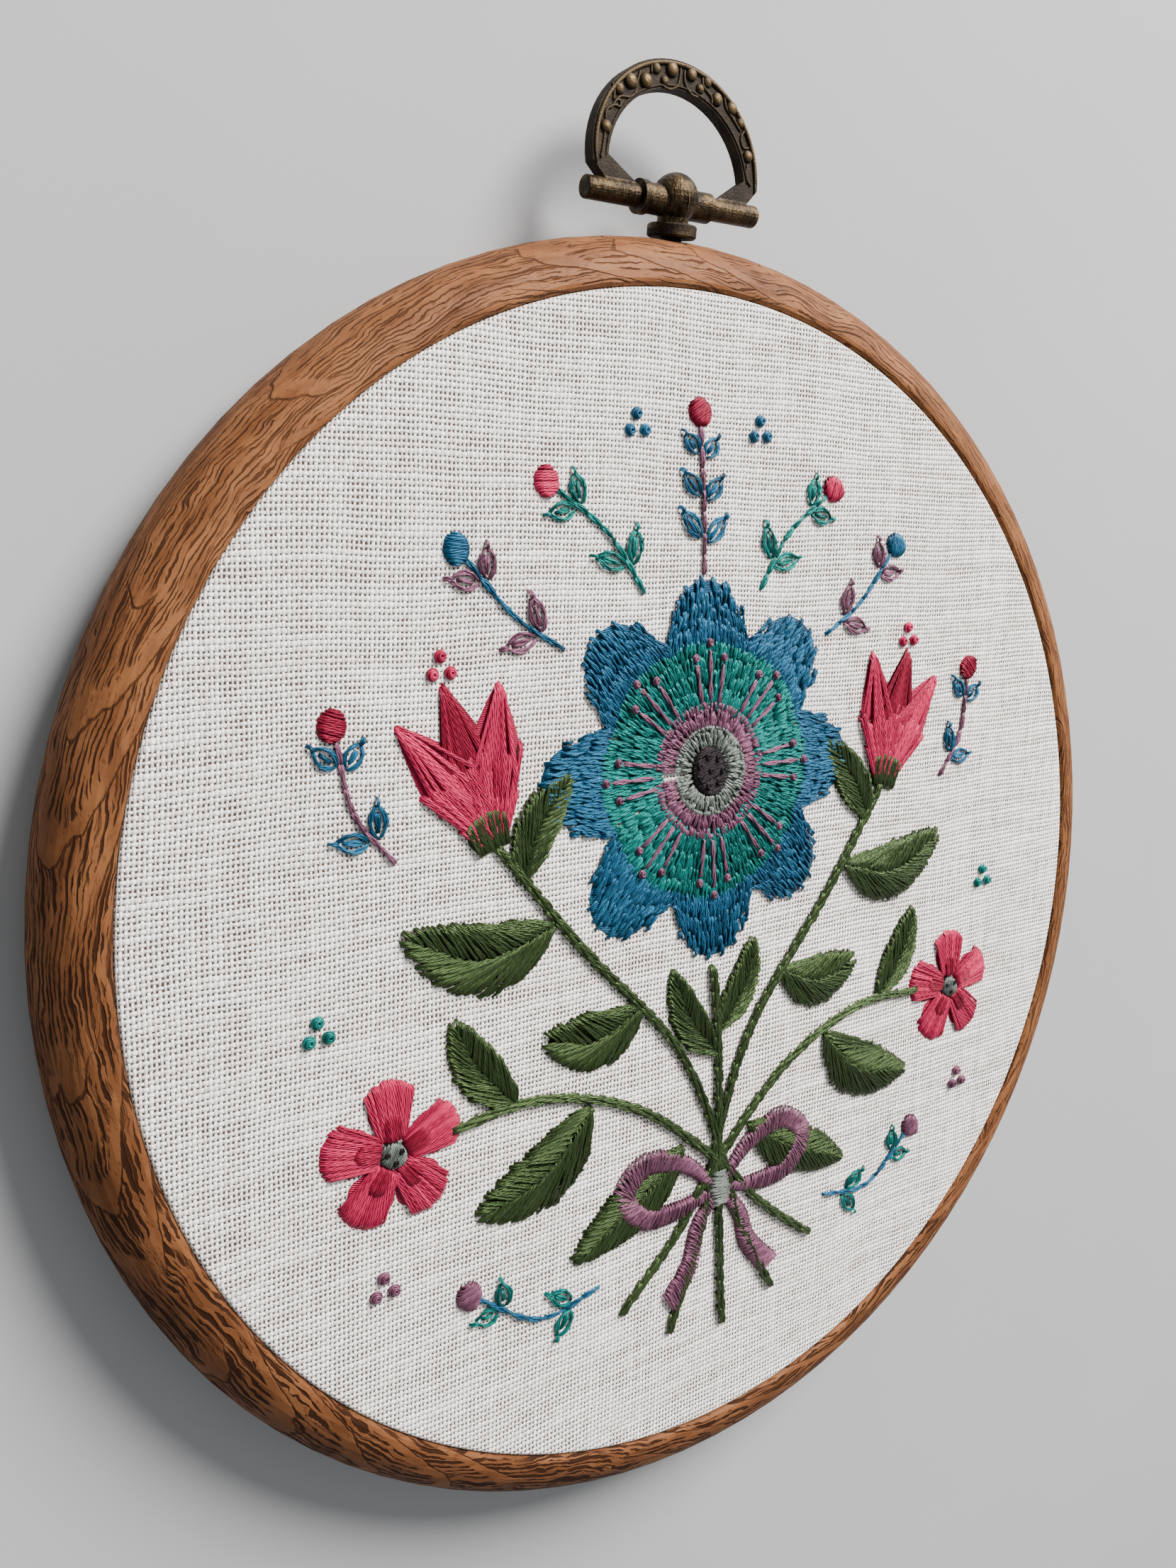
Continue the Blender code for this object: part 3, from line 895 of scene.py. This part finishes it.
def lazy_daisy(batch, root, angle, length, breadth):
    """A looped stitch: two bowed sides, the tie over its tip and a straight stitch inside."""
    ahead = toward(angle)
    tip = root + ahead * length
    for turn in (1, -1):
        batch.add(root, tip, 0.36, 2, 0.30, 0.0, turn * breadth / 2, 6.0)
    batch.add(tip - ahead * 0.5, tip + ahead * 0.8, 0.36, 2, 0.40, 0.08, 0.0, 5.0)
    batch.add(root + ahead * 0.7, tip - ahead * 0.8, 0.40, 2, 0.22, 0.0, 0.0, 7.0)


def satin_dot(batch, middle, radius, angle=0.6, base=0.1):
    """A round of parallel stitches."""
    ahead = toward(angle)
    side = left_of(ahead)

    def where(s, t):
        return middle + side * radius * t + ahead * radius * (2 * s - 1) * math.sqrt(max(1 - t * t, 0.02))

    fill(batch, where, lambda s: radius, [(0.0, 1.0)], base=base)


def sprig(line, leaf, berry, knots, pairs=2, size=4.4):
    """A back-stitched stem with looped leaves in pairs and a berry at its end."""
    path = back_stitch(line, knots)
    for k in range(pairs):
        s = path.length * (0.22 + 0.56 * k / max(pairs - 1, 1))
        heading = path.ahead(s)
        angle = math.atan2(heading[1], heading[0])
        for turn in (1, -1):
            root = path.at(s + (0.5 if turn > 0 else 0.0)) + path.side(s) * 0.35 * turn
            lazy_daisy(leaf, root, angle + turn * 0.75, size * (1 - 0.14 * k), 1.9)
    end = path.at(path.length) + path.ahead(path.length) * 1.4
    satin_dot(berry, end, 1.8, RNG.random() * math.pi)


# Leaves of the left half: half their width, then their midrib.
LEAVES = [
    (3.7, (-11.5, -13.0), (-18.0, -16.0), (-26.0, -14.0)),
    (4.2, (-23.5, -0.5), (-33.0, -3.0), (-43.0, 1.5)),
    (2.9, (-28.0, 5.0), (-25.5, 11.0), (-20.5, 17.0)),
    (4.1, (-19.5, -23.8), (-26.0, -30.5), (-36.0, -33.0)),
    (2.9, (-30.0, -20.8), (-35.0, -15.0), (-37.5, -9.0)),
    (3.6, (-5.5, -33.0), (-12.5, -38.0), (-23.0, -43.0)),
]
# Sprigs of the left half: floss of line, leaves and berry, leaf length, then the line.
SPRIGS = [
    ("teal", "teal", "coral", 4.4, (-9.0, 37.0), (-14.0, 44.0), (-21.0, 49.0)),
    ("blue", "mauve", "blue", 4.4, (-20.5, 31.0), (-27.0, 35.0), (-33.0, 41.5)),
    ("blue", "teal", "mauve", 3.8, (-19.0, -47.5), (-28.0, -48.5), (-36.0, -43.0)),
    ("mauve", "blue", "crimson", 4.0, (-43.0, 9.5), (-47.5, 15.5), (-49.0, 23.5)),
]
# Knots in threes: where, and in which floss.
THREES = [(-9.5, 56.5, "blue"), (-36.5, 30.0, "coral"), (-53.0, -7.0, "teal"), (-47.5, -37.5, "mauve")]


def bouquet(b):
    # Stems from the gather, and their splayed ends below it.
    stem_stitch(b["olive"], [(0.0, -60.0), (0.0, -40.0), (0.5, -22.0), (0.0, -10.0)])
    for flip in (as_drawn, mirrored):
        high = [(9.0, -58.0), (3.0, -45.0), (0.8, -36.0), (-6.0, -20.0), (-20.0, -4.0), (-31.0, 10.0)]
        stem_stitch(b["olive"], flip(high))
        low = [(16.5, -52.5), (7.0, -44.5), (1.5, -38.0), (-12.0, -26.5), (-26.0, -21.2), (-38.6, -21.6)]
        stem_stitch(b["olive"], flip(low))
        for half_width, *knots in LEAVES:
            fishbone(b["leaf"], flip(knots), half_width)
    fishbone(b["leaf"], [(0.5, -19.0), (5.2, -13.5), (7.0, -7.5)], 2.5)
    fishbone(b["leaf"], [(0.3, -22.0), (-4.2, -16.5), (-6.5, -9.5)], 2.5)

    # The large bloom: eight two-tone petals round a ringed centre, with stamens over them.
    middle = np.array([0.0, 15.0])
    reach = 17.5
    for k in range(8):
        angle = math.pi / 2 + k * TAU / 8 + wander(0.015)
        root = middle + 7.0 * toward(angle)
        where, half = petal_shape(root, angle, reach + wander(0.25), 13.4, 0.46, 0.60, 0.62, 0.24)
        brick(b["blue"], where, half, reach, 0.48, 1.0)
        brick(b["teal"], where, half, reach, 0.0, 0.56)
        for turn in (-0.16, 0.0, 0.16):
            out = toward(angle + turn)
            far = 15.5 if turn == 0.0 else 13.8
            b["mauve"].add(middle + out * 8.2, middle + out * far, 0.34, 2, 0.34, 0.32, 0.0, 6.0, 0.9)
            french_knots(b["mauve"], [middle + out * (far + 0.4)], 1.1, 0.42)
    brick(b["mauve"], *ring_shape(middle, 5.0, 9.0), 4.0, 0.0, 1.0, 2.4, base=0.1, edge=0.0)
    brick(b["grey"], *ring_shape(middle, 2.7, 6.0), 3.3, 0.0, 1.0, 2.2, base=0.2, edge=0.0)
    satin_dot(b["black"], middle, 3.3, 0.3, 0.25)
    ring = np.linspace(0, TAU, 8)[:-1]
    french_knots(b["black"], round_places(middle, 1.9, ring) + [middle], 1.3, 0.3)

    # Two tulips on the side stems.
    for sign in (-1, 1):
        foot = np.array([sign * 31.0, 10.5])
        up = math.pi / 2 - sign * 0.30
        where, half = petal_shape(foot, up, 19.0, 9.4, 0.40, 0.30, 0.95, 0.0)
        fill(b["crimson"], where, half, [(0.0, 0.34), (0.26, 0.64), (0.56, 1.0)])
        for turn in (1, -1):
            where, half = petal_shape(foot, up + 0.30 * turn, 18.0, 9.0, 0.34, 0.34, 0.9, 0.0, 1.6 * turn)
            fill(b["coral"], where, half, [(0.0, 0.34), (0.24, 0.62), (0.54, 1.0)], base=0.08, edge=0.8)
        where, half = petal_shape(foot - np.array([0.0, 1.4]), up, 5.4, 6.6, 0.6, 0.4)
        fill(b["leaf"], where, half, [(0.0, 1.0)], base=0.15)

    # Small five-petalled flowers on the low stems.
    for sign in (-1, 1):
        heart = np.array([sign * 45.5, -22.5])
        for k in range(5):
            angle = math.pi / 2 + k * TAU / 5
            root = heart + 1.3 * toward(angle)
            where, half = petal_shape(root, angle, 7.6, 7.4, 0.4, 0.45)
            fill(b["coral"], where, half, [(0.0, 1.0)], edge=0.8)
            small = petal_shape(root, angle, 3.8, 2.8, 0.5, 0.45)
            fill(b["crimson"], *small, [(0.0, 1.0)], base=0.14, pad=False)
        satin_dot(b["grey"], heart, 1.7, 0.9, 0.15)
        french_knots(b["black"], [heart + d for d in ([0.7, 0.4], [-0.8, 0.3], [0.1, -0.8])], 1.0, 0.30)

    # Sprigs between the flowers, and knots scattered in threes.
    for flip in (as_drawn, mirrored):
        for line, leaf, berry, size, *knots in SPRIGS:
            sprig(b[line], b[leaf], b[berry], flip(knots), 2, size)
        for x, y, key in THREES:
            place = np.array(flip([(x, y)])[0])
            french_knots(b[key], round_places(place, 1.25, (1.6, 3.7, 5.8)), 1.5)
    sprig(b["mauve"], b["blue"], b["crimson"], [(0.0, 39.0), (0.2, 47.0), (0.0, 57.0)], 3)

    # A ribbon bow round the stems: two loops, two tails and the knot.
    for flip in (as_drawn, mirrored):
        tail = flip([(0.6, -40.8), (3.6, -45.0), (5.0, -49.5), (8.6, -54.0)])
        satin_band(b["mauve"], tail, lambda share: 1.0 + 0.8 * share)
        loop = [(0.8, -39.8), (5.5, -35.6), (11.5, -33.9), (15.0, -37.0)]
        loop += [(12.0, -41.0), (6.0, -41.5), (0.8, -40.4)]
        satin_band(b["mauve"], flip(loop), lambda share: 0.8 + 0.9 * math.sin(math.pi * share), base=0.30)
    knot = [(0.0, -42.6), (0.0, -37.9)]
    satin_band(b["grey"], knot, lambda share: 1.9 - 0.5 * abs(2 * share - 1), base=0.55, slant=0.0)


# Each floss by name: the piece that it makes, and its dark and bright colour. The spread between them is
# partly the floss's own tone and partly painted shade and painted highlight.
FLOSSES = {
    "olive": ("stems_olive", (0.0010, 0.0022, 0.0007), (0.0190, 0.0305, 0.0112)),
    "leaf": ("leaves_olive", (0.0009, 0.0021, 0.0007), (0.0175, 0.0280, 0.0102)),
    "teal": ("stitches_teal", (0.0004, 0.009, 0.0085), (0.005, 0.138, 0.124)),
    "blue": ("stitches_blue", (0.0008, 0.006, 0.0155), (0.018, 0.094, 0.176)),
    "mauve": ("stitches_mauve", (0.022, 0.007, 0.013), (0.165, 0.068, 0.112)),
    "grey": ("stitches_grey", (0.020, 0.024, 0.021), (0.150, 0.175, 0.155)),
    "black": ("stitches_black", (0.0015, 0.0012, 0.0014), (0.008, 0.0065, 0.0075)),
    "coral": ("stitches_coral", (0.140, 0.0036, 0.018), (0.610, 0.036, 0.112)),
    "crimson": ("stitches_crimson", (0.055, 0.002, 0.007), (0.260, 0.013, 0.040)),
}


def embroider():
    batches = {}
    for key, (name, dark, bright) in FLOSSES.items():
        batches[key] = Batch(name, floss("floss_" + key, dark, bright), 6, 9 if key == "olive" else 7)
    bouquet(batches)
    fronts = [batch.build() for batch in batches.values()]
    return fronts + [batch.reverse() for batch in batches.values()]


# The hanger's cast ornament, on the bail's front. Places are across and above the pin, in millimetres.

BAIL_LEAN = math.radians(2)
# How far the bail's middle lies to the right of the ball's, and its face in front of the pin's axis.
BAIL_SHIFT = 0.05
BAIL_FACE = 0.8


def on_bail(points):
    """Points (across, above the pin, out of the face) as places in the part's frame, in metres."""
    points = np.asarray(points, float)
    cos, sin = math.cos(BAIL_LEAN), math.sin(BAIL_LEAN)
    out = points[:, 2] + BAIL_FACE
    y = points[:, 1] * cos - out * sin
    z = points[:, 1] * sin + out * cos
    return np.stack([points[:, 0] + BAIL_SHIFT, y, z], 1) * MM + np.array(PIN)


def bronze_piece(name, points, faces, look, body, proud):
    """proud is how far each point is rubbed to brass, from 0 to 1."""
    return mesh_piece(name, points, faces, look, body, {"proud": proud})


# Each bead: across, above the pin, radius.
BEADS = [
    (-8.6, 10.8, 0.72), (-7.0, 11.9, 0.90), (-4.8, 12.3, 0.90), (-3.3, 13.9, 0.68), (-2.1, 12.8, 0.62),
    (-1.0, 14.2, 0.90), (1.9, 14.2, 0.80), (3.2, 12.9, 0.62), (4.3, 13.8, 0.66), (5.8, 12.2, 0.82),
    (8.1, 11.6, 0.82), (9.5, 10.2, 0.66), (-10.5, 6.5, 0.76), (10.7, 6.6, 0.76),
]


def beads(look):
    """Domes flatter than half round, standing on the bail's face."""
    rings, around = 7, 16
    tall = 0.72
    sunk = 0.06
    points, faces = [], []
    for x, v, size in BEADS:
        first = len(points)
        for i in range(rings):
            a = math.pi / 2 * i / rings
            for j in range(around):
                b = TAU * j / around
                flat = size * math.cos(a)
                up = size * tall * math.sin(a) - sunk
                points.append((x + flat * math.cos(b), v + flat * math.sin(b), up))
        faces += [tuple(f) for f in grid_faces(rings, around, first)]
        top = len(points)
        points.append((x, v, size * tall - sunk))
        last = first + (rings - 1) * around
        faces += [(last + j, last + (j + 1) % around, top) for j in range(around)]
        faces.append(tuple(first + j for j in reversed(range(around))))
    proud = [min(max((p[2] - 0.14) / 0.48, 0.0), 0.85) for p in points]
    return bronze_piece("bail_beads", on_bail(points), faces, look, "bail", proud)


def half_ellipse(width, height, centre, start, end, count):
    a = np.radians(np.linspace(start, end, count))
    return np.stack([width * np.cos(a), centre + height * np.sin(a)], 1)


VINES = [
    [(-11.3, 3.0), (-10.9, 4.6), (-10.6, 6.2)],
    [(-10.6, 7.0), (-10.4, 8.2), (-9.4, 8.9), (-8.5, 8.9), (-8.6, 9.6), (-9.4, 9.3)],
    [(-9.9, 8.4), (-8.6, 9.9), (-7.0, 10.2), (-6.0, 11.2)],
    [(-9.4, 9.4), (-9.3, 10.6), (-9.6, 11.3)],
    [(-6.4, 11.2), (-5.9, 12.4), (-5.6, 13.3)],
    [(-4.0, 13.2), (-3.9, 14.3), (-3.0, 14.7)],
    [(-2.6, 12.3), (-1.4, 12.0), (-0.2, 12.6), (0.2, 13.8), (0.3, 14.8)],
    [(0.9, 14.6), (0.9, 13.2), (1.8, 12.1), (3.0, 11.9)],
    [(3.6, 14.4), (3.7, 13.3), (4.9, 12.3), (5.0, 11.4)],
    [(6.9, 13.2), (7.2, 11.6), (8.4, 10.4), (9.6, 9.2)],
    [(10.3, 9.6), (9.6, 8.6), (10.0, 7.5), (11.0, 7.6)],
    [(10.7, 5.8), (10.5, 4.4), (11.2, 3.2)],
]


def relief(look):
    """The raised line inside the bail's outer edge, a low one at its inner edge, and the vines between."""
    outer = half_ellipse(11.95, 10.95, 4.0, -8, 188, 90)
    inner = half_ellipse(10.55, 9.85, 2.7, 4, 176, 80)
    lines = [(outer, 0.27, 0.10), (inner, 0.14, 0.04)]
    lines += [(curve(knots, 0.15), 0.17, 0.06) for knots in VINES]
    sides = 8
    points, faces = [], []
    for path, thick, rise in lines:
        path = np.asarray(path)
        ahead = np.gradient(path, axis=0)
        ahead /= np.linalg.norm(ahead, axis=1)[:, None]
        side = np.stack([-ahead[:, 1], ahead[:, 0]], 1)
        share = np.linspace(0, 1, len(path))
        size = thick * np.sqrt(np.clip(np.minimum(share, 1 - share) * 12 + 0.15, 0, 1))
        first = len(points)
        for k, place in enumerate(path):
            for j in range(sides):
                a = TAU * j / sides
                off = side[k] * size[k] * math.cos(a)
                points.append((place[0] + off[0], place[1] + off[1], rise * 0.5 + size[k] * math.sin(a)))
        faces += [tuple(f) for f in grid_faces(len(path), sides, first)]
        faces.append(tuple(first + j for j in reversed(range(sides))))
        last = first + (len(path) - 1) * sides
        faces.append(tuple(last + j for j in range(sides)))
    proud = [min(max((p[2] - 0.10) / 0.34, 0.0), 0.55) for p in points]
    return bronze_piece("bail_relief", on_bail(points), faces, look, "bail", proud)


def ball_seam(look):
    """The parting line left by the mould, round the ball in the plane of the hoop's axis."""
    around, sides = 72, 6
    reach, thick = 2.86, 0.075
    points = []
    for i in range(around):
        a = TAU * i / around
        for j in range(sides):
            b = TAU * j / sides
            r = reach + thick * math.cos(b)
            points.append((thick * math.sin(b), r * math.cos(a), r * math.sin(a)))
    points = np.array(points) * MM + np.array(PIN)
    proud = np.full(len(points), 0.6)
    return bronze_piece("ball_seam", points, loop_faces(around, sides), look, "hoop", proud)


# The camera where the photographer stood, and a soft studio.


def camera():
    """turn and place, in the part's frame, are fitted to the photo's outlines."""
    data = bpy.data.cameras.new("camera")
    data.lens = 28.16
    data.sensor_width = 36.0
    data.clip_start = 0.001
    data.clip_end = 50.0
    obj = bpy.data.objects.new("camera", data)
    bpy.context.scene.collection.objects.link(obj)
    turn = Matrix(
        (
            (0.82715117, 0.11305089, -0.55049109),
            (-0.03572446, 0.98815358, 0.14925238),
            (0.56084286, -0.10378828, 0.82139106),
        )
    )
    place = (-0.09703507, 0.02704567, 0.12941634)
    obj.matrix_world = Matrix.Translation(place) @ turn.to_4x4()
    bpy.context.scene.camera = obj


def area_light(name, place, aim, size, power, colour):
    data = bpy.data.lights.new(name, "AREA")
    data.shape = "DISK"
    data.size = size
    data.energy = power
    data.color = colour
    obj = bpy.data.objects.new(name, data)
    obj.location = place
    obj.rotation_euler = (Vector(aim) - Vector(place)).to_track_quat("-Z", "Y").to_euler()
    bpy.context.scene.collection.objects.link(obj)


def studio():
    area_light("key", (0.62, 0.86, 0.78), (0, 0, 0), 0.7, 78.0, (1.0, 0.965, 0.93))
    world = bpy.data.worlds.new("studio")
    bpy.context.scene.world = world
    world.use_nodes = True
    world.node_tree.nodes["Background"].inputs["Color"].default_value = (0.97, 0.99, 1.0, 1.0)
    world.node_tree.nodes["Background"].inputs["Strength"].default_value = 0.58
    made, tree, shader = new_material("floor_pale")
    x, y, z = place_mm(tree)
    cloudy = noise((x, y, z), 0.02, 4.0)
    colour = mix(cloudy, (0.275, 0.278, 0.287), (0.310, 0.313, 0.320))
    plug(shader.inputs["Base Color"], colour)
    shader.inputs["Roughness"].default_value = 0.85
    mesh = bpy.data.meshes.new("floor")
    half = 4.0
    level = -0.0001
    corners = [(-half, -half, level), (half, -half, level), (half, half, level), (-half, half, level)]
    mesh.from_pydata(corners, [], [(0, 1, 2, 3)])
    mesh.materials.append(made)
    floor = bpy.data.objects.new("floor", mesh)
    bpy.context.scene.collection.objects.link(floor)


def repaint(node, look):
    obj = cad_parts[node]
    obj.data.materials.clear()
    obj.data.materials.append(look)


camera()
studio()
BRONZE = bronze()
repaint("outer_hoop", woodgrain())
repaint("inner_hoop", cream_plastic())
repaint("hanger_stud", BRONZE)
repaint("hanger_bail", BRONZE)
ground = cloth_sheet(cotton())
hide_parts("cloth")
stitched = embroider()
beads(BRONZE)
relief(BRONZE)
ball_seam(BRONZE)
